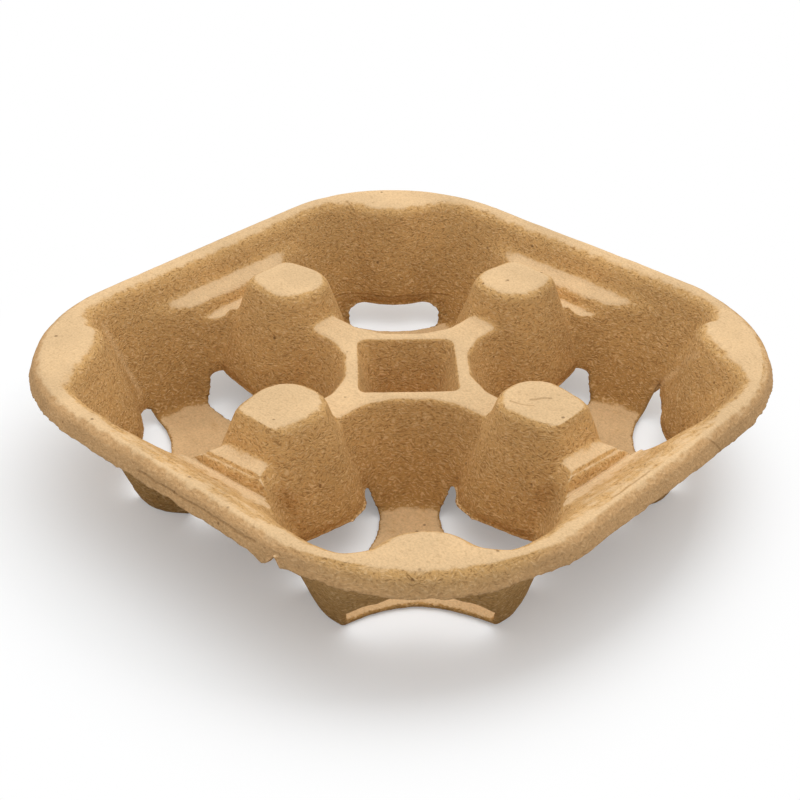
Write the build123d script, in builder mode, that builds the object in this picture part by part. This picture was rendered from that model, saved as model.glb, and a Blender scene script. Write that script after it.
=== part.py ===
from build123d import *

import math
import os

# Four-cup carrier, moulded in one piece from paper pulp.
# The origin is on the table under the middle of the tray. X and Y run along its sides, and Z is up.
# All lengths are in millimetres and all angles in degrees.

# Overall sizes
side_length = 210.0
rim_height = 45.0
corner_radius = 60.0
wall = 2.0
overrun = 5.0

# Rim: a flat flange, bent over into a lip that leans outwards
flange_width = 10.0
lip_height = 7.5
lip_flare = 2.5
lip_bend = 2.0
mouth_bend = 2.0
mouth_bend_draft = 57.0

# Wells: round tapered cup spaces, each about the centre of a corner of the rim
# The decks are cut a little wider than the wells, so that their ends run out on the side walls
well_draft = 24.4
run_out = 0.3

# Noses: a tapered bulge in the corner of each well, level with the flange
nose_centre = 56.0
nose_radius = 20.0
nose_draft = 17.2
crease_width = 5.0

# Posts between the wells: round towards the middle, flat towards the side
post_height = 48.0
post_centre = 55.5
post_reach = 12.5
post_inner_width = 27.0
post_inner_round = 11.0
post_side_width = 20.0
post_corner = 4.5
post_bevel = 1.6
grip_draft = 18.6

# Square pocket in the middle, with its corners towards the posts and a saddle from each corner to a post
pocket_height = 37.0
pocket_width = 33.0
pocket_depth = 25.0
pocket_corner = 3.0
pocket_rim = 4.4
saddle_width = 12.0
saddle_corner = 6.0
hub_bevel = 1.0

# Steps between a post and its side of the rim: a long shelf, a gutter and a step at the post's foot
shelf_height = 35.1
shelf_width = 7.1
gutter_height = 30.1
gutter_width = 4.6
step_height = 33.3
step_round = 1.5

# Well floors: three legs, with a window between each two of them
leg_width = 19.0
leg_flare = 21.0
leg_count = 3
window_reach = 34.0
window_height = 13.5
window_round = 36.0
window_bevel = 2.0
arch_height = 10.3
arch_bevel = 4.0
channel_width = 11.6
channel_depth = 0.7
channel_reach = 27.0

# Places that follow from these
half_side = side_length / 2
well_centre = half_side - corner_radius
well_distance = math.hypot(well_centre, well_centre)
mouth_radius = corner_radius - flange_width
mouth_side = half_side - flange_width
mouth_level = rim_height - mouth_bend
lip_level = rim_height - lip_height
lip_draft = math.degrees(math.atan(lip_flare / lip_height))
well_slope = math.tan(math.radians(well_draft))
nose_slope = math.tan(math.radians(nose_draft))
side_count = 4
corner_angle = 180 / side_count
window_turn = 360 / leg_count
leg_turn = window_turn / 2
standing = (Align.CENTER, Align.CENTER, Align.MIN)


def sideways(skin, draft_angle):
    """How far a drafted face moves sideways, at one height, when it moves in by skin."""
    return skin / math.cos(math.radians(draft_angle))


def edge_shift(skin, draft_angle):
    """How far an edge between a flat top and a drafted face moves sideways when both move in by skin."""
    return skin * math.tan(math.radians((90 - draft_angle) / 2))


def lean(sides, level, draft_angle):
    """Drafts the upright ones of the sides, which keep their place at the level."""
    draft(sides.filter_by(Axis.Z, reverse=True), Plane.XY.offset(level), draft_angle)


def bevel(edges, width, skin):
    """Takes the edges off the tray's upper face. They stay sharp on its underside, which lies a skin lower."""
    if skin == 0:
        chamfer(edges, width)


def basin(skin, bottom, level, side_draft, bulge_draft):
    """The space inside the rim, narrowed by a nose in each corner. At the level, it meets the wells' sides."""
    depth = rim_height + overrun - bottom
    spread = sideways(skin, side_draft) - (rim_height - level) * well_slope
    width = 2 * (mouth_side + spread)
    bulge_slope = math.tan(math.radians(bulge_draft))
    bulge_radius = nose_radius + (rim_height - level) * nose_slope - sideways(skin, bulge_draft)
    bulge_foot = bulge_radius + (level - bottom) * bulge_slope
    with BuildPart() as space:
        with BuildSketch(Plane.XY.offset(bottom)):
            RectangleRounded(width, width, mouth_radius + spread)
        extrude(amount=depth)
        lean(space.faces(), level, -side_draft)
        with PolarLocations(well_distance + nose_centre, side_count, start_angle=corner_angle):
            with Locations((0, 0, bottom)):
                Cone(bulge_foot, bulge_foot - depth * bulge_slope, depth, align=standing, mode=Mode.SUBTRACT)
        creases = space.edges().filter_by(GeomType.LINE, reverse=True).filter_by(GeomType.CIRCLE, reverse=True)
        chamfer(creases, crease_width)
    return space.part


def side_deck(skin, foot_level):
    """The solid under the shelf, gutter and step of the side at +X, from the middle to the side wall."""
    shift = edge_shift(skin, well_draft)
    shelf_inner = mouth_side - (rim_height - shelf_height) * well_slope - shelf_width
    gutter_outer = shelf_inner - (shelf_height - gutter_height) * well_slope
    gutter_inner = gutter_outer - gutter_width
    step_outer = gutter_inner - (step_height - gutter_height) * well_slope
    with BuildPart() as body:
        with BuildSketch(Plane.XZ) as profile:
            with BuildLine():
                Polyline(
                    (0, foot_level),
                    (mouth_side, foot_level),
                    (mouth_side, shelf_height - skin),
                    (shelf_inner + shift, shelf_height - skin),
                    (gutter_outer + shift, gutter_height - skin),
                    (gutter_inner - shift, gutter_height - skin),
                    (step_outer - shift, step_height - skin),
                    (0, step_height - skin),
                    close=True,
                )
            make_face()
            if skin == 0:
                fillet(profile.vertices().filter_by_position(Axis.X, step_outer, shelf_inner), step_round)
        extrude(amount=well_centre, both=True)
    return body.part


def decks(skin, foot_level):
    """The decks of the four sides, with the wells cut out of them."""
    one_deck = side_deck(skin, foot_level)
    well_foot = foot_level - overrun
    well_depth = rim_height - well_foot
    top_radius = mouth_radius + run_out + sideways(skin, well_draft)
    with BuildPart() as body:
        with PolarLocations(0, side_count):
            add(one_deck)
        with PolarLocations(well_distance, side_count, start_angle=corner_angle):
            with Locations((0, 0, well_foot)):
                Cone(
                    top_radius - well_depth * well_slope,
                    top_radius,
                    well_depth,
                    align=standing,
                    mode=Mode.SUBTRACT,
                )
    return body.part


def post(skin, foot_level):
    """One post about its middle, with its round side towards -X and its flat side towards +X."""
    inset = sideways(skin, grip_draft)
    reach = post_reach - inset
    half_inner = post_inner_width / 2 - inset
    half_outer = post_side_width / 2 - inset
    with BuildPart() as body:
        with BuildSketch(Plane.XY.offset(foot_level)) as outline:
            with BuildLine():
                Polyline(
                    (-reach, -half_inner),
                    (reach, -half_outer),
                    (reach, half_outer),
                    (-reach, half_inner),
                    close=True,
                )
            make_face()
            fillet(outline.vertices().group_by(Axis.X)[0], post_inner_round - inset)
            fillet(outline.vertices().group_by(Axis.X)[-1], post_corner - inset)
        extrude(amount=post_height - skin - foot_level)
        lean(body.faces(), post_height, grip_draft)
        bevel(body.faces().sort_by(Axis.Z)[-1].edges(), post_bevel, skin)
    return body.part


def hub(skin, foot_level):
    """The pocket's walls and the four saddles, about the middle of the tray."""
    inset = sideways(skin, grip_draft)
    outer_width = pocket_width + 2 * pocket_rim - 2 * inset
    ridge_width = saddle_width - 2 * inset
    with BuildPart() as body:
        with BuildSketch(Plane.XY.offset(foot_level)) as outline:
            Rectangle(outer_width, outer_width, rotation=corner_angle)
            Rectangle(2 * post_centre, ridge_width)
            Rectangle(ridge_width, 2 * post_centre)
            chamfer(outline.vertices().sort_by_distance(Vector())[: 2 * side_count], saddle_corner)
        extrude(amount=pocket_height - skin - foot_level)
        lean(body.faces(), pocket_height, grip_draft)
        bevel(body.faces().sort_by(Axis.Z)[-1].edges(), hub_bevel, skin)
    return body.part


def pocket_space(skin):
    """The space in the pocket, about the middle of the tray."""
    width = pocket_width + 2 * sideways(skin, grip_draft)
    with BuildPart() as space:
        with BuildSketch(Plane.XY.offset(pocket_height - pocket_depth - skin)):
            Rectangle(width, width, rotation=corner_angle)
        extrude(amount=pocket_depth + skin + overrun)
        lean(space.faces(), pocket_height, -grip_draft)
        if skin == 0:
            fillet(space.edges().filter_by(Plane.XY, reverse=True), pocket_corner)
    return space.part


def moulding(skin, foot_level, spare):
    """The whole solid under the tray's surface, with that surface moved in by skin."""
    space = basin(skin, wall - skin, rim_height, well_draft, nose_draft)
    mouth = basin(0, mouth_level - mouth_bend, mouth_level, mouth_bend_draft, mouth_bend_draft)
    steps = decks(skin, foot_level)
    middle = hub(skin, foot_level)
    pocket = pocket_space(skin)
    one_post = post(skin, foot_level)
    width = side_length - 2 * sideways(skin, lip_draft)
    with BuildPart() as form:
        with BuildSketch(Plane.XY.offset(lip_level)):
            RectangleRounded(width, width, corner_radius - sideways(skin, lip_draft))
        extrude(amount=lip_height - skin)
        lean(form.faces(), lip_level, lip_draft)
        bevel(form.faces().sort_by(Axis.Z)[-1].edges(), lip_bend, skin)
        with BuildSketch(Plane.XY.offset(foot_level)):
            RectangleRounded(side_length + spare, side_length + spare, corner_radius)
        extrude(amount=lip_level - foot_level)
        add(space, mode=Mode.SUBTRACT)
        if skin == 0:
            add(mouth, mode=Mode.SUBTRACT)
        add(steps)
        add(middle)
        add(pocket, mode=Mode.SUBTRACT)
        with PolarLocations(post_centre, side_count):
            add(one_post)
    return form.part


def window(height, top_bevel):
    """The cutter between two legs, about a well's axis, with the window towards +X."""
    tip = leg_width / 2 / math.sin(math.radians(leg_turn))
    half_width = (window_reach - tip) * math.tan(math.radians(leg_turn))
    with BuildPart() as cutter:
        with BuildSketch() as outline:
            with BuildLine():
                Polyline((tip, 0), (window_reach, -half_width), (window_reach, half_width), close=True)
            make_face()
            fillet(outline.vertices().sort_by(Axis.X)[0], window_round)
        extrude(amount=height)
        lean(cutter.faces().sort_by(Axis.X)[:-1], 0, leg_flare)
        chamfer(cutter.faces().sort_by(Axis.Z)[-1].edges().sort_by(Axis.X)[:-1], top_bevel)
        extrude(outline.sketch, amount=-overrun)
    return cutter.part


def channels():
    """The shallow recess along the three legs of a well's floor, about the well's axis."""
    with BuildPart() as recess:
        with BuildSketch(Plane.XY.offset(wall - channel_depth)):
            with PolarLocations(0, leg_count, start_angle=leg_turn):
                Rectangle(channel_reach, channel_width, align=(Align.MIN, Align.CENTER))
        extrude(amount=overrun)
    return recess.part


upper = moulding(0, 0, 0)
lower = moulding(wall, -overrun, overrun)
recess = channels()
corner_window = window(arch_height, arch_bevel)
post_window = window(window_height, window_bevel)

with BuildPart() as tray:
    add(upper)
    add(lower, mode=Mode.SUBTRACT)
    with PolarLocations(well_distance, side_count, start_angle=corner_angle):
        add(recess, mode=Mode.SUBTRACT)
        add(corner_window, mode=Mode.SUBTRACT)
        with PolarLocations(0, leg_count - 1, start_angle=window_turn, angular_range=360 - window_turn):
            add(post_window, mode=Mode.SUBTRACT)

tray.part.label = "tray"
os.makedirs("parts", exist_ok=True)
export_step(tray.part, "parts/tray.step")
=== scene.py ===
import itertools
import math

import bpy
import numpy as np
from mathutils import Matrix, Vector


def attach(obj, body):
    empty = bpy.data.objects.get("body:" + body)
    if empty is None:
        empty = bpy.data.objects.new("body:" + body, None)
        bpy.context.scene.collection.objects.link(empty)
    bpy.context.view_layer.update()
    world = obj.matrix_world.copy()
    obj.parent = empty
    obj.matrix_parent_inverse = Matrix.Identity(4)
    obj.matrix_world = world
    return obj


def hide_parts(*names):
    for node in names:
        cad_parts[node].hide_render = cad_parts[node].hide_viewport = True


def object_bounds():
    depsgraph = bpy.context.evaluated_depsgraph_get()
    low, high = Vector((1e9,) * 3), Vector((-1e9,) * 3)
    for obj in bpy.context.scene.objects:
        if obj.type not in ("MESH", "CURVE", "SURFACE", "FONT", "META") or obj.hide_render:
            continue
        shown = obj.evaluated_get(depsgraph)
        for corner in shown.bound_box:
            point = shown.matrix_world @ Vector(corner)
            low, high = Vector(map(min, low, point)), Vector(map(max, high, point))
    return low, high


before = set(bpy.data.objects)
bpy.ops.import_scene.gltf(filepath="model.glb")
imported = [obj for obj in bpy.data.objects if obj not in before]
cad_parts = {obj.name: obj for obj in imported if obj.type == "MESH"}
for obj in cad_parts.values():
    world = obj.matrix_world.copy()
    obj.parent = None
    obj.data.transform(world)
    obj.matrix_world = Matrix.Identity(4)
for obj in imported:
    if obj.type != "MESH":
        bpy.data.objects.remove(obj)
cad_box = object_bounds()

# A four-cup carrier of moulded paper pulp, on a white floor under soft light.
# Lengths are in metres and angles in degrees. The frame is the part's own, with +Z up and the table at 0.

mm = 0.001

# Mesh of the tray
voxel_size = 0.8 * mm
edge_rounds = 3
crease_rounds = 20
crease_start = 0.06 * mm
crease_full = 0.3 * mm
deck_rounds = 40
rim_soft_share = 0.6
weld_reach = 0.01 * mm
most_triangles = 190000
box_margin = 0.02 * mm

# Places on the tray, as in the part's source
rim_height = 45 * mm
lip_level = 37.5 * mm
corner_place = 45 * mm
corner_radius = 60 * mm
nose_edge = 99.6 * mm
deck_reach = 36 * mm

# Where the tray is smoothed. Here and below, a name that ends in band is a start and an end to ease between
deck_blend = 4 * mm
deck_level_band = (24 * mm, 28 * mm)
shelf_band = (80.5 * mm, 83 * mm)
side_start = 60 * mm
flange_inner_band = (-6.5 * mm, -5 * mm)
rim_level_band = (38 * mm, 42 * mm)
post_outer_band = (40 * mm, 44 * mm)
foot_level = 4 * mm
foot_upward = 0.2

# A dent in the top of one post
dent_place = (52.8 * mm, -3.9 * mm)
dent_reach = 8 * mm
dent_depth = 0.9 * mm
dent_level_band = (38 * mm, 44 * mm)

# The two front sides. The tables are in millimetres, by place across the deck: how far it rises, how much more
# than that at its end nearer the front corner, and how far its step moves out
deck_places = (66, 72, 75.1, 76.5, 78, 81, 83.4, 86, 90.5, 93, 95, 98.5)
deck_rises = (0, 3.8, 3.7, 4.4, 2.0, 2.4, -1.4, 0.2, 3.5, 0.8, -1.5, 0)
deck_tilts = (0, 1.4, 1.4, 1.4, 0.8, 0.5, 0.3, 0.2, 0.1, 0, 0, 0)
step_half = 14 * mm
step_most_level = 41 * mm
step_places = (72.5, 75, 77.5, 82.5)
step_pushes = (0, 2.2, 2.2, 0)

# Uneven pulp: the whole shell wanders, and its two faces are lumpy
warp_size = 60 * mm
warp_depth = 0.45 * mm
lump_size = 7 * mm
lump_depth = 0.13 * mm
lump_seed = 7
grit_size = 2.2 * mm
grit_depth = 0.05 * mm
grit_seed = 8

# The corners, and how far the nose's tip and the lip of each stand out of true: outwards and along the rim
front_corner = np.array((1, -1)) / math.sqrt(2)
back_corner = -front_corner
right_corner = np.array((1, 1)) / math.sqrt(2)
left_corner = -right_corner
nose_moves = (
    (front_corner, right_corner, -1.8 * mm, 0),
    (back_corner, right_corner, 1.6 * mm, -2.3 * mm),
    (left_corner, back_corner, 1.5 * mm, 5.4 * mm),
    (right_corner, back_corner, 0.5 * mm, 6.5 * mm),
)
nose_level_band = (8 * mm, 40 * mm)
nose_reach_band = (5 * mm, 19 * mm)
lip_moves = ((front_corner, -3.2 * mm), (right_corner, -1.7 * mm))
lip_place_band = (103 * mm, 118 * mm)
lip_level_band = (30 * mm, 40 * mm)

# The feet of the wells that stand further out than the others: where, and how far along X and Y
foot_moves = (
    ((-38 * mm, -76 * mm), (0, -3.4 * mm)),
    ((40 * mm, -76 * mm), (0, -1.2 * mm)),
    ((76 * mm, -40 * mm), (3.4 * mm, 0)),
    ((76 * mm, 38 * mm), (3.2 * mm, 0)),
)
foot_reach = 26 * mm
foot_level_band = (4 * mm, 26 * mm)

# Punched edges: the underside reaches further down than the upper face, so that the cut shows from above
cut_reach = 3.2 * mm
cut_rounds = 8
cut_under_band = (-0.35, 0.05)
cut_low_band = (5 * mm, 8 * mm)
cut_high_band = (12 * mm, 24 * mm)
cut_front_band = (76 * mm, 82 * mm)
cut_least_slope = 0.2

# The arch in the front corner stands higher than the others, and the back one is narrower below
arch_half = 24 * mm
front_arch_lift = 6 * mm
front_arch_slope = 0.31
front_arch_band = (81 * mm, 86 * mm)
front_arch_low_band = (3 * mm, 6 * mm)
front_arch_high_band = (11 * mm, 28 * mm)
back_arch_share = 0.16
back_arch_band = (80 * mm, 85 * mm)
back_arch_high_band = (8 * mm, 14 * mm)

# The arch in the right corner runs up into a slit at its back end
slit_place = 19.5 * mm
slit_half = 6.5 * mm
slit_lift = 7.5 * mm
slit_slopes = (0.37, 0.26)
slit_corner_band = (84 * mm, 88 * mm)
slit_low_band = (2 * mm, 6 * mm)
slit_high_band = (9 * mm, 34 * mm)

# Lower edge of the lip: shorter than in the part's source, ragged, with a torn notch at the front left
front_lip_share = 0.08
side_lip_share = 0.17
lip_front_band = (105 * mm, 125 * mm)
lip_edge_band = (-5.5 * mm, -4 * mm)
lip_least_level = 30 * mm
lip_low_band = (0.5, 1)
ragged_size = 5 * mm
ragged_depth = 0.55 * mm
fine_ragged_size = ragged_size / 3
fine_ragged_share = 0.7
ragged_seeds = (21, 22)
notch_place = 46 * mm
notch_height = 4.6 * mm
notch_slope = 1.3
notch_rough_size = 1.6 * mm
notch_rough_depth = 0.9 * mm
notch_seed = 23
flap_offset = 5 * mm
flap_half = 3 * mm
flap_length = 1.6 * mm

# Cracks and folds. Those listed are in millimetres: ends of each, and how much an offset along each axis counts
mark_start = 0.1 * mm
mark_width = 0.55 * mm
mark_share = 0.45
mark_wave_scale = 200
mark_wave_reach = 1.2 * mm
marks = (
    ((-26.5, 90.3, 44), (28.7, 93.2, 44), (1, 1, 0.15)),
    ((98.6, -21.9, 45), (99, -3.5, 45), (1, 1, 0.15)),
    ((-89.8, 63.8, 44), (-84.8, 63.2, 42), (1, 1, 0.2)),
    ((104, 22, 46), (104, 27, 39), (0.15, 1, 1)),
    ((-12, -104, 41.6), (38, -104, 42.2), (1, 0.15, 1)),
    ((-79.2, 48.1, 12.3), (-48.1, 79.2, 12.3), (0.12, 0.12, 1)),
    ((49, -6.5, 48), (55.5, -3.5, 48), (1, 1, 0.15)),
    ((53, -1.5, 48), (57.5, 3, 48), (1, 1, 0.15)),
)

# Painted highlights along the creases beside two of the noses. Those listed are in millimetres: ends of each
crease_highlight_width = 2.6 * mm
crease_highlight_share = 0.34
crease_highlight_lines = (
    ((-90.4, -55.5, 37.9), (-79.5, -51.5, 13)),
    ((68.1, 71.1, 38.2), (56.2, 79.9, 22.2)),
    ((56.2, 79.9, 22.2), (48.6, 80.8, 11.6)),
)

# Colours of the pulp. The pale colour of faces that look up and the darker colour of steep walls are painted
# light and shade
lit_flat_colour = (0.755, 0.52, 0.285, 1)
# Painted shade: the darker colour of the lip's outward face
lip_shade_colour = (0.585, 0.35, 0.16, 1)
shaded_wall_colour = (0.65, 0.385, 0.148, 1)
# Painted shade: the colour the walls darken to towards the bottom
bottom_shade_colour = (0.48, 0.265, 0.087, 1)
light_fibre = (0.84, 0.57, 0.30, 1)
dark_fibre = (0.33, 0.17, 0.06, 1)
speck_colour = (0.17, 0.08, 0.03, 1)

# Patterns of the pulp: how fine each is, and which part of it counts
cloud_scale = 45
mottle_scale = 260
grain_scale = 1400
speck_scale = 210
curl_scale = 260
curl_reach = 3.5 * mm
streak_scale = 780
streak_detail = 1.5
streak_stretch = (1, 1, 2.6)
light_band = (0.53, 0.67)
dark_band = (0.45, 0.31)
light_shares = (0.22, 0.52)
dark_shares = (0.16, 0.62)
flat_band = (0.82, 0.97)
mottle_band = (0.3, 0.7)
flat_mottle = 0.05
deck_low_band = (27 * mm, 31 * mm)
deck_high_band = (44 * mm, 40 * mm)
# Painted light: how much flatter the decks count, so that they take more of the pale lit colour
deck_lit_share = 0.09
# Painted shade: flats low in the wells keep only part of the pale lit colour, less the lower they lie
low_flat_shade_band = (2 * mm, 30 * mm)
low_flat_lit_share = 0.75
calm_lip_share = 0.4
lip_colour_band = (corner_radius - 7 * mm, corner_radius - 3 * mm)
speck_band = (0.06, 0.16)
speck_choice_band = (0.78, 0.86)
speck_share = 0.7
cloud_band = (0.3, 0.7)
cloud_tones = (0.91, 1.05)
grain_band = (0.25, 0.75)
grain_tone = 0.08
roughness = 0.95
gloss = 0.15
bump_strength = 0.9
bump_depth = 0.25 * mm
bump_band = (0.2, 0.8)
bump_grain = 0.25
bump_mottle = 0.4

# Camera, fitted to the photograph
camera_place = Vector((273.1, -307.9, 293.0)) * mm
camera_aim = Vector((-0.5573, 0.6226, -0.5493))
camera_roll = 1.21
camera_lens = 65.27
camera_near = 1 * mm

# Light: a sky that is brightest overhead and dimmer in front, and one large soft lamp
sky_low = 0.36
sky_high = 1.5
sky_front = (0.667, -0.745, 0)
sky_front_share = 0.62
sky_front_band = (-0.2, 0.9)
key_place = Vector((-0.3, 0.5, 1.3))
key_size = 1.6
key_power = 4.0
floor_size = 6.0
floor_colour = (0.93, 0.945, 0.955, 1)
floor_bounce = (0.55, 0.55, 0.55, 1)
floor_clear_place = (-0.018, -0.012, 0)
floor_clear_start = 0.1
floor_clear_end = 0.172
# Painted light: the share of white glow the camera sees on the floor near the tray, which makes the shadow
# paler
floor_glow_share = 0.22


def settle(piece):
    """Replaces a piece's mesh by the one that its modifiers make."""
    depsgraph = bpy.context.evaluated_depsgraph_get()
    made = bpy.data.meshes.new_from_object(piece.evaluated_get(depsgraph))
    piece.modifiers.clear()
    piece.data = made


def read_points(mesh):
    """The mesh's points, one row each."""
    values = np.empty(3 * len(mesh.vertices))
    mesh.vertices.foreach_get("co", values)
    return values.reshape(-1, 3)


def read_normals(mesh):
    """The mesh's normals at its points, one row each."""
    values = np.empty(3 * len(mesh.vertices))
    mesh.vertex_normals.foreach_get("vector", values)
    return values.reshape(-1, 3)


def read_edges(mesh):
    """The two points of each of the mesh's edges."""
    values = np.empty(2 * len(mesh.edges), dtype=np.int32)
    mesh.edges.foreach_get("vertices", values)
    return values.reshape(-1, 2)


def write_points(mesh, points):
    """Moves the mesh's points."""
    mesh.vertices.foreach_set("co", points.ravel())
    mesh.update()


def ease(low, high, values):
    """0 up to low, 1 from high, and smooth between them."""
    share = np.clip((values - low) / (high - low), 0, 1)
    return share * share * (3 - 2 * share)


def lumps(points, size, seed):
    """Smooth noise from -1 to 1 at each point, with lumps of about the given size."""
    place = points / size + seed * np.array((17.3, 5.9, 11.7))
    cell = np.floor(place).astype(np.int64)
    part = place - cell
    part = part * part * (3 - 2 * part)
    total = np.zeros(len(points))
    for corner in itertools.product((0, 1), repeat=3):
        key = (cell + corner) @ np.array((73856093, 19349663, 83492791))
        key = (key ^ (key >> 13)) * 1274126177
        level = ((key ^ (key >> 16)) & 0xFFFF) / 0x7FFF - 1
        total += level * np.prod(np.where(corner, part, 1 - part), axis=1)
    return total


def smoothed(points, edges, rounds):
    """The points after each has moved, in each round, half way to the middle of its neighbours."""
    ends = np.concatenate((edges[:, 0], edges[:, 1]))
    others = np.concatenate((edges[:, 1], edges[:, 0]))
    count = np.maximum(np.bincount(ends, minlength=len(points)), 1)
    for _ in range(rounds):
        middle = np.stack([np.bincount(ends, points[others, axis], len(points)) for axis in range(3)], axis=1)
        points = (points + middle / count[:, None]) / 2
    return points


def rim_distance(points):
    """How far each point lies outside the rim's outer edge, in plan."""
    past = np.abs(points[:, :2]) - corner_place
    outside = np.hypot(*np.maximum(past, 0).T)
    return outside + np.minimum(past.max(axis=1), 0) - corner_radius


def shape_decks(points, edges, outward, inside):
    """Raises the steps of the two front sides and runs all four shelves into the flange."""
    along = np.min(np.abs(points[:, :2]), axis=1)
    on_side = 1 - ease(deck_reach - deck_blend, deck_reach + deck_blend, along)
    on_side = on_side * ease(*deck_level_band, points[:, 2])
    in_front = on_side * ((points[:, 0] > side_start) | (points[:, 1] < -side_start))
    frontward = np.where(points[:, 0] > side_start, -points[:, 1], points[:, 0]) / step_half
    tilt = np.interp(outward / mm, deck_places, deck_tilts) * np.clip(frontward, -1, 1)
    points[:, 2] += in_front * (np.interp(outward / mm, deck_places, deck_rises) + tilt) * mm
    push = in_front * np.interp(outward / mm, step_places, step_pushes) * mm
    push = push * (points[:, 2] < step_most_level)
    points[:, 0] += push * (points[:, 0] > side_start)
    points[:, 1] -= push * (points[:, 1] < -side_start)
    on_shelf = on_side * inside * ease(*shelf_band, outward)
    soft = smoothed(points, edges, deck_rounds)
    return points + (soft - points) * on_shelf[:, None]


def soften(mesh):
    """Rounds the edges, fills the hollow creases between the walls, and shapes the decks and a dent."""
    points = read_points(mesh)
    normals = read_normals(mesh)
    edges = read_edges(mesh)
    slight = smoothed(points, edges, edge_rounds)
    strong = smoothed(slight, edges, crease_rounds)
    rise = np.einsum("ij,ij->i", strong - points, normals)
    share = ease(crease_start, crease_full, rise)
    inside = 1 - ease(*flange_inner_band, rim_distance(points))
    outward = np.max(np.abs(points[:, :2]), axis=1)
    near_rim = inside * ease(*rim_level_band, points[:, 2]) * ease(*post_outer_band, outward)
    share = np.maximum(share, rim_soft_share * near_rim)
    share[(points[:, 2] < foot_level) & (normals[:, 2] < foot_upward)] = 0
    points = shape_decks(slight + (strong - slight) * share[:, None], edges, outward, inside)
    dent = 1 - ease(0, dent_reach, np.hypot(*(points[:, :2] - dent_place).T))
    points[:, 2] -= dent_depth * dent * ease(*dent_level_band, points[:, 2])
    write_points(mesh, points)


def pull_corners(points):
    """Moves the noses, lips and feet that stand out of true."""
    flat = points[:, :2].copy()
    height = ease(*nose_level_band, points[:, 2])
    for corner, along, outward, sideways in nose_moves:
        offset = np.hypot(flat @ corner - nose_edge, flat @ along)
        share = (1 - ease(*nose_reach_band, offset)) * height
        points[:, :2] += (corner * outward + along * sideways) * share[:, None]
    for corner, outward in lip_moves:
        share = ease(*lip_place_band, flat @ corner) * ease(*lip_level_band, points[:, 2])
        points[:, :2] += corner * (outward * share)[:, None]
    low = 1 - ease(*foot_level_band, points[:, 2])
    for place, move in foot_moves:
        share = low * (1 - ease(0, foot_reach, np.hypot(*(flat - place).T)))
        points[:, :2] += np.array(move) * share[:, None]
    return points


def shape_arches(points, normals, edges):
    """Slants the punched edges, lifts the front arch, slits the right one and narrows the back one."""
    height = points[:, 2].copy()
    across = points[:, :2] @ right_corner
    front = points[:, :2] @ front_corner
    under = 1 - ease(*cut_under_band, normals[:, 2])
    band = ease(*cut_low_band, height) * (1 - ease(*cut_high_band, height))
    downhill = normals * normals[:, 2:] - (0, 0, 1)
    downhill /= np.maximum(np.linalg.norm(downhill, axis=1), cut_least_slope)[:, None]
    reach = cut_reach * under * band * (1 - ease(*cut_front_band, front))
    points += smoothed(downhill * reach[:, None], edges, cut_rounds)
    arched = np.clip(1 - (across / arch_half) ** 2, 0, 1)
    on_wall = ease(*front_arch_low_band, height) * (1 - ease(*front_arch_high_band, height))
    lift = front_arch_lift * arched * on_wall * ease(*front_arch_band, front)
    points[:, 2] += lift
    points[:, :2] += front_corner * (front_arch_slope * lift)[:, None]
    slit = np.clip(1 - np.abs(front + slit_place) / slit_half, 0, 1) * ease(*slit_corner_band, across)
    slit *= slit_lift * ease(*slit_low_band, height) * (1 - ease(*slit_high_band, height))
    points[:, 2] += slit
    points[:, :2] += (slit_slopes[0] * right_corner + slit_slopes[1] * back_corner) * slit[:, None]
    behind = ease(*back_arch_band, -front) * (1 - ease(*back_arch_high_band, height)) * under
    narrower = back_arch_share * across * behind * (np.abs(across) < arch_half)
    points[:, :2] -= right_corner * narrower[:, None]
    return points


def tear_lip(points):
    """Shortens the lip, frays its lower edge and tears a notch in it."""
    on_lip = ease(*lip_edge_band, rim_distance(points)) * (points[:, 2] > lip_least_level)
    below = np.clip((rim_height - points[:, 2]) / (rim_height - lip_level), 0, 1) * on_lip
    front = ease(*lip_front_band, points[:, :2] @ front_corner)
    shorter = side_lip_share + (front_lip_share - side_lip_share) * front
    points[:, 2] += below * shorter * (rim_height - lip_level)
    low = ease(*lip_low_band, below)
    fray = lumps(points, ragged_size, ragged_seeds[0])
    fray = fray + fine_ragged_share * lumps(points, fine_ragged_size, ragged_seeds[1])
    points[:, 2] += low * ragged_depth * fray
    at_notch = (points[:, 1] < 0) & (on_lip > 0)
    side = points[:, 0] - notch_place
    torn = lip_level + notch_height - notch_slope * np.abs(side)
    torn = torn + notch_rough_depth * lumps(points, notch_rough_size, notch_seed)
    points[:, 2] = np.where(at_notch, np.maximum(points[:, 2], torn), points[:, 2])
    flap = np.clip(1 - np.abs(side + flap_offset) / flap_half, 0, 1) * at_notch
    points[:, 2] -= flap_length * flap * low
    return points


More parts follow.
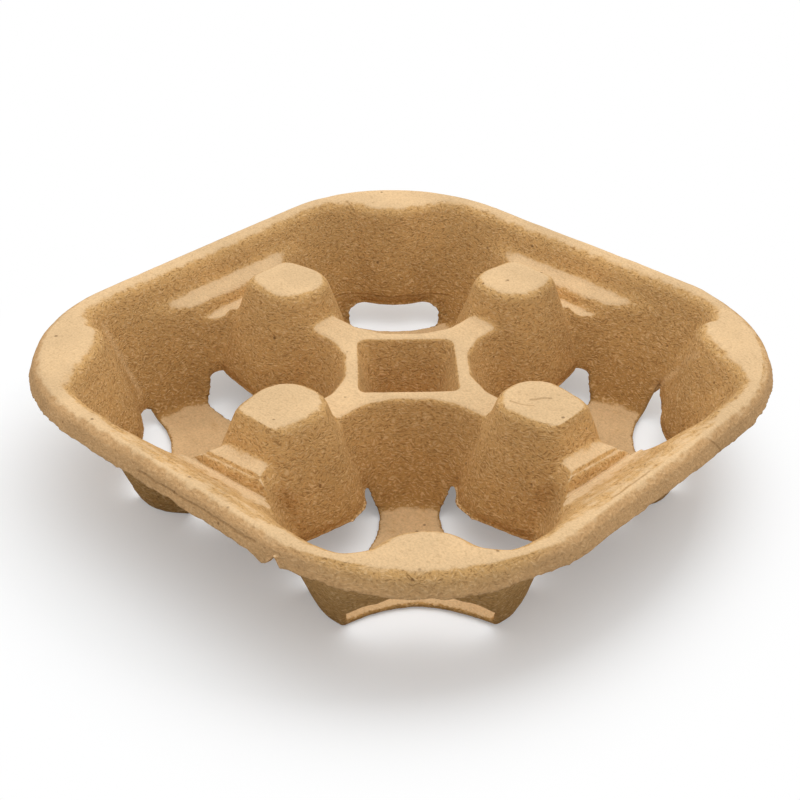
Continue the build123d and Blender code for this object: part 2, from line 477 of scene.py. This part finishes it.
def make_tray():
    """The tray's mesh: the part's own form with rounded edges, uneven as moulded pulp is."""
    tray = bpy.data.objects.new("pulp_tray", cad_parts["tray"].data.copy())
    bpy.context.scene.collection.objects.link(tray)
    tray.data.materials.clear()
    weld = tray.modifiers.new("weld", "WELD")
    weld.merge_threshold = weld_reach
    remesh = tray.modifiers.new("remesh", "REMESH")
    remesh.mode = "VOXEL"
    remesh.voxel_size = voxel_size
    settle(tray)
    soften(tray.data)
    points = read_points(tray.data)
    normals = read_normals(tray.data)
    for axis in range(3):
        points[:, axis] += warp_depth * lumps(points, warp_size, axis + 1)
    relief = lump_depth * lumps(points, lump_size, lump_seed) + grit_depth * lumps(points, grit_size, grit_seed)
    points += normals * relief[:, None]
    points = tear_lip(shape_arches(pull_corners(points), normals, read_edges(tray.data)))
    low, high = np.array(cad_box)
    write_points(tray.data, np.clip(points, low + box_margin, high - box_margin))
    thin = tray.modifiers.new("thin", "DECIMATE")
    triangles = sum(len(face.vertices) - 2 for face in tray.data.polygons)
    thin.ratio = min(1, most_triangles / triangles)
    settle(tray)
    tray.data.shade_smooth()
    return tray


def add_node(tree, kind, inputs, **settings):
    """A new node, with its settings and its inputs. An input is a value or another node's output."""
    node = tree.nodes.new(kind)
    for name, value in settings.items():
        setattr(node, name, value)
    for name, value in inputs.items():
        if isinstance(value, bpy.types.NodeSocket):
            tree.links.new(value, node.inputs[name])
        else:
            node.inputs[name].default_value = value
    return node


def between(tree, value, low, high, to_low=0.0, to_high=1.0):
    """A value that goes smoothly from to_low at low to to_high at high."""
    inputs = {"Value": value, "From Min": low, "From Max": high, "To Min": to_low, "To Max": to_high}
    return add_node(tree, "ShaderNodeMapRange", inputs, interpolation_type="SMOOTHSTEP").outputs["Result"]


def sums(tree, operation, first, second):
    """The two values, combined."""
    return add_node(tree, "ShaderNodeMath", {0: first, 1: second}, operation=operation).outputs["Value"]


def vectors(tree, operation, first, second=(0, 0, 0), output="Vector"):
    """The two vectors, combined."""
    return add_node(tree, "ShaderNodeVectorMath", {0: first, 1: second}, operation=operation).outputs[output]


def scaled(tree, vector, scale):
    """The vector, made longer or shorter."""
    inputs = {0: vector, "Scale": scale}
    return add_node(tree, "ShaderNodeVectorMath", inputs, operation="SCALE").outputs["Vector"]


def noise(tree, place, scale, detail, output="Fac"):
    """Smooth noise from 0 to 1."""
    inputs = {"Vector": place, "Scale": scale, "Detail": detail}
    return add_node(tree, "ShaderNodeTexNoise", inputs).outputs[output]


def stretched(tree, place, stretch):
    """The place, stretched along the axes."""
    return add_node(tree, "ShaderNodeMapping", {"Vector": place, "Scale": stretch}).outputs["Vector"]


def curled(tree, place, scale, reach):
    """The place, pushed about by a noise, so that what is drawn there curls."""
    push = vectors(tree, "SUBTRACT", noise(tree, place, scale, 1.0, "Color"), (0.5, 0.5, 0.5))
    return vectors(tree, "ADD", place, scaled(tree, push, reach))


def mark(tree, place, start, end, weights, width):
    """A line from start to end. The weights say how much an offset along each axis counts."""
    start = Vector(start) * mm
    run = Vector(end) * mm - start
    offset = vectors(tree, "SUBTRACT", place, start)
    along = vectors(tree, "DOT_PRODUCT", offset, run / run.length_squared, "Value")
    share = add_node(tree, "ShaderNodeMapRange", {"Value": along}).outputs["Result"]
    away = vectors(tree, "SUBTRACT", offset, scaled(tree, run, share))
    distance = vectors(tree, "LENGTH", vectors(tree, "MULTIPLY", away, weights), output="Value")
    return between(tree, distance, mark_start, width, 1.0, 0.0)


def mixed(tree, share, first, second):
    """A colour between two."""
    inputs = {"Factor": share, 6: first, 7: second}
    return add_node(tree, "ShaderNodeMix", inputs, data_type="RGBA").outputs[2]


def make_pulp():
    """Brown paper pulp: pale and smooth on the flats, darker and fibrous on the walls. The pale flats, the
    darker walls and lip, the walls darkening towards the bottom and a light line along two creases are painted
    light and shade.
    """
    material = bpy.data.materials.new("pulp")
    material.use_nodes = True
    tree = material.node_tree
    shader = tree.nodes["Principled BSDF"]
    where = add_node(tree, "ShaderNodeTexCoord", {})
    place = where.outputs["Object"]
    upward = add_node(tree, "ShaderNodeSeparateXYZ", {0: where.outputs["Normal"]}).outputs["Z"]
    level = add_node(tree, "ShaderNodeSeparateXYZ", {0: place}).outputs["Z"]
    cloud = noise(tree, place, cloud_scale, 3.0)
    mottle = noise(tree, place, mottle_scale, 3.0)
    grain = noise(tree, place, grain_scale, 2.0)

    # Which places are flat, and which are on the lip
    decked = between(tree, level, *deck_low_band)
    decked = sums(tree, "MULTIPLY", decked, between(tree, level, *deck_high_band))
    ragged = sums(tree, "ADD", upward, between(tree, mottle, *mottle_band, -flat_mottle, flat_mottle))
    # Painted light: the decks count as flatter, so more of them takes the pale lit colour
    ragged = sums(tree, "ADD", ragged, sums(tree, "MULTIPLY", decked, deck_lit_share))
    flat = between(tree, ragged, *flat_band)
    wall = sums(tree, "SUBTRACT", 1.0, flat)
    past = vectors(tree, "SUBTRACT", vectors(tree, "ABSOLUTE", place), (corner_place, corner_place, 1))
    reach = vectors(tree, "LENGTH", vectors(tree, "MAXIMUM", past), output="Value")
    lip = between(tree, reach, *lip_colour_band)

    # Fibres, cracks, painted highlights along creases, and specks
    curls = curled(tree, place, curl_scale, curl_reach)
    streaks = noise(tree, stretched(tree, curls, streak_stretch), streak_scale, streak_detail)
    calm = between(tree, lip, 0.0, 1.0, 1.0, calm_lip_share)
    fibrous = sums(tree, "MULTIPLY", wall, calm)
    light = between(tree, streaks, *light_band)
    light = sums(tree, "MULTIPLY", light, between(tree, fibrous, 0.0, 1.0, *light_shares))
    dark = between(tree, streaks, *dark_band)
    dark = sums(tree, "MULTIPLY", dark, between(tree, fibrous, 0.0, 1.0, *dark_shares))
    wavy = curled(tree, place, mark_wave_scale, mark_wave_reach)
    scar = 0.0
    for start, end, weights in marks:
        scar = sums(tree, "MAXIMUM", scar, mark(tree, wavy, start, end, weights, mark_width))
    crease_highlight = 0.0
    for start, end in crease_highlight_lines:
        crease_highlight = sums(tree, "MAXIMUM", crease_highlight, mark(tree, wavy, start, end, (1, 1, 1), crease_highlight_width))
    spots = add_node(tree, "ShaderNodeTexVoronoi", {"Vector": place, "Scale": speck_scale})
    chosen = add_node(tree, "ShaderNodeSeparateXYZ", {0: spots.outputs["Color"]}).outputs["X"]
    speck = between(tree, spots.outputs["Distance"], *speck_band, 1.0, 0.0)
    speck = sums(tree, "MULTIPLY", speck, between(tree, chosen, *speck_choice_band, 0.0, speck_share))

    # Colour
    # Painted shade: the walls darken towards the bottom
    colour = mixed(tree, between(tree, level, 0.0, rim_height), bottom_shade_colour, shaded_wall_colour)
    # Painted shade: the lip's outward face is darker
    colour = mixed(tree, lip, colour, lip_shade_colour)
    # Painted shade: flats low in the wells are less pale
    pale = sums(tree, "MULTIPLY", flat, between(tree, level, *low_flat_shade_band, low_flat_lit_share, 1.0))
    # Painted light and shade: faces that look up take the pale lit colour, steep faces keep the darker shaded
    # wall colour
    colour = mixed(tree, pale, colour, lit_flat_colour)
    colour = mixed(tree, light, colour, light_fibre)
    colour = mixed(tree, dark, colour, dark_fibre)
    # Painted highlight: a light line along the creases beside two of the noses
    colour = mixed(tree, sums(tree, "MULTIPLY", crease_highlight, crease_highlight_share), colour, light_fibre)
    colour = mixed(tree, speck, colour, speck_colour)
    colour = mixed(tree, sums(tree, "MULTIPLY", scar, mark_share), colour, dark_fibre)
    tone = between(tree, grain, *grain_band, -grain_tone, grain_tone)
    tone = sums(tree, "ADD", between(tree, cloud, *cloud_band, *cloud_tones), tone)
    tree.links.new(scaled(tree, colour, tone), shader.inputs["Base Color"])
    shader.inputs["Roughness"].default_value = roughness
    shader.inputs["Specular IOR Level"].default_value = gloss

    # Relief
    height = sums(tree, "SUBTRACT", sums(tree, "SUBTRACT", light, dark), scar)
    height = sums(tree, "ADD", height, between(tree, grain, *bump_band, -bump_grain, bump_grain))
    height = sums(tree, "ADD", height, between(tree, mottle, *bump_band, -bump_mottle, bump_mottle))
    inputs = {"Height": height, "Strength": bump_strength, "Distance": bump_depth}
    bump = add_node(tree, "ShaderNodeBump", inputs)
    tree.links.new(bump.outputs["Normal"], shader.inputs["Normal"])
    return material


def make_floor():
    """A white floor that keeps the tray's shadow and runs into the white background. Near the tray the camera
    sees it partly glowing white, painted light that makes the shadow paler.
    """
    bpy.ops.mesh.primitive_plane_add(size=floor_size)
    floor = bpy.context.object
    floor.name = "floor"
    material = bpy.data.materials.new("floor")
    material.use_nodes = True
    tree = material.node_tree
    tree.nodes.clear()
    where = add_node(tree, "ShaderNodeTexCoord", {})
    away = vectors(tree, "DISTANCE", where.outputs["Object"], floor_clear_place, "Value")
    far = between(tree, away, floor_clear_start, floor_clear_end)
    path = add_node(tree, "ShaderNodeLightPath", {})
    # Painted light: near the tray the floor glows partly white for the camera, which makes the shadow paler
    pale = sums(tree, "MAXIMUM", far, floor_glow_share)
    seen = sums(tree, "MULTIPLY", pale, path.outputs["Is Camera Ray"])
    colour = mixed(tree, path.outputs["Is Camera Ray"], floor_bounce, floor_colour)
    paint = add_node(tree, "ShaderNodeBsdfDiffuse", {"Color": colour})
    white = add_node(tree, "ShaderNodeEmission", {})
    surface = add_node(tree, "ShaderNodeMixShader", {0: seen, 1: paint.outputs[0], 2: white.outputs[0]})
    add_node(tree, "ShaderNodeOutputMaterial", {"Surface": surface.outputs[0]})
    floor.data.materials.append(material)
    return floor


def make_sky():
    """Pale light from all round, brightest overhead, and white where the camera looks at it."""
    world = bpy.data.worlds.new("sky")
    bpy.context.scene.world = world
    world.use_nodes = True
    tree = world.node_tree
    where = add_node(tree, "ShaderNodeTexCoord", {})
    upward = add_node(tree, "ShaderNodeSeparateXYZ", {0: where.outputs["Generated"]}).outputs["Z"]
    level = add_node(tree, "ShaderNodeMapRange", {"Value": upward, "To Min": sky_low, "To Max": sky_high})
    facing = vectors(tree, "DOT_PRODUCT", where.outputs["Generated"], sky_front, "Value")
    dimmed = between(tree, facing, *sky_front_band, 1.0, sky_front_share)
    light = sums(tree, "MULTIPLY", level.outputs["Result"], dimmed)
    path = add_node(tree, "ShaderNodeLightPath", {})
    seen = sums(tree, "MAXIMUM", path.outputs["Is Camera Ray"], path.outputs["Is Glossy Ray"])
    seen = sums(tree, "MAXIMUM", seen, path.outputs["Is Transmission Ray"])
    strength = add_node(tree, "ShaderNodeMix", {0: seen, 2: light, 3: 1.0})
    background = tree.nodes["Background"]
    background.inputs["Color"].default_value = (1, 1, 1, 1)
    tree.links.new(strength.outputs[0], background.inputs["Strength"])


def make_light():
    """One large soft lamp above and behind the tray."""
    lamp = bpy.data.lights.new("key", "AREA")
    lamp.shape = "SQUARE"
    lamp.size = key_size
    lamp.energy = key_power
    holder = bpy.data.objects.new("key", lamp)
    holder.location = key_place
    holder.rotation_mode = "QUATERNION"
    holder.rotation_quaternion = key_place.to_track_quat("Z", "Y")
    bpy.context.scene.collection.objects.link(holder)


def make_camera():
    """The photograph's view."""
    lens = bpy.data.cameras.new("camera")
    lens.lens = camera_lens
    lens.clip_start = camera_near
    holder = bpy.data.objects.new("camera", lens)
    forward = camera_aim.normalized()
    right = forward.cross(Vector((0, 0, 1))).normalized()
    upright = Matrix((right, right.cross(forward), -forward)).transposed()
    roll = Matrix.Rotation(math.radians(camera_roll), 3, "Z")
    holder.matrix_world = Matrix.Translation(camera_place) @ (upright @ roll).to_4x4()
    bpy.context.scene.collection.objects.link(holder)
    bpy.context.scene.camera = holder


tray = make_tray()
tray.data.materials.append(make_pulp())
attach(tray, "root")
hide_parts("tray")
make_floor()
make_sky()
make_light()
make_camera()

bpy.context.scene.view_settings.view_transform = "Standard"
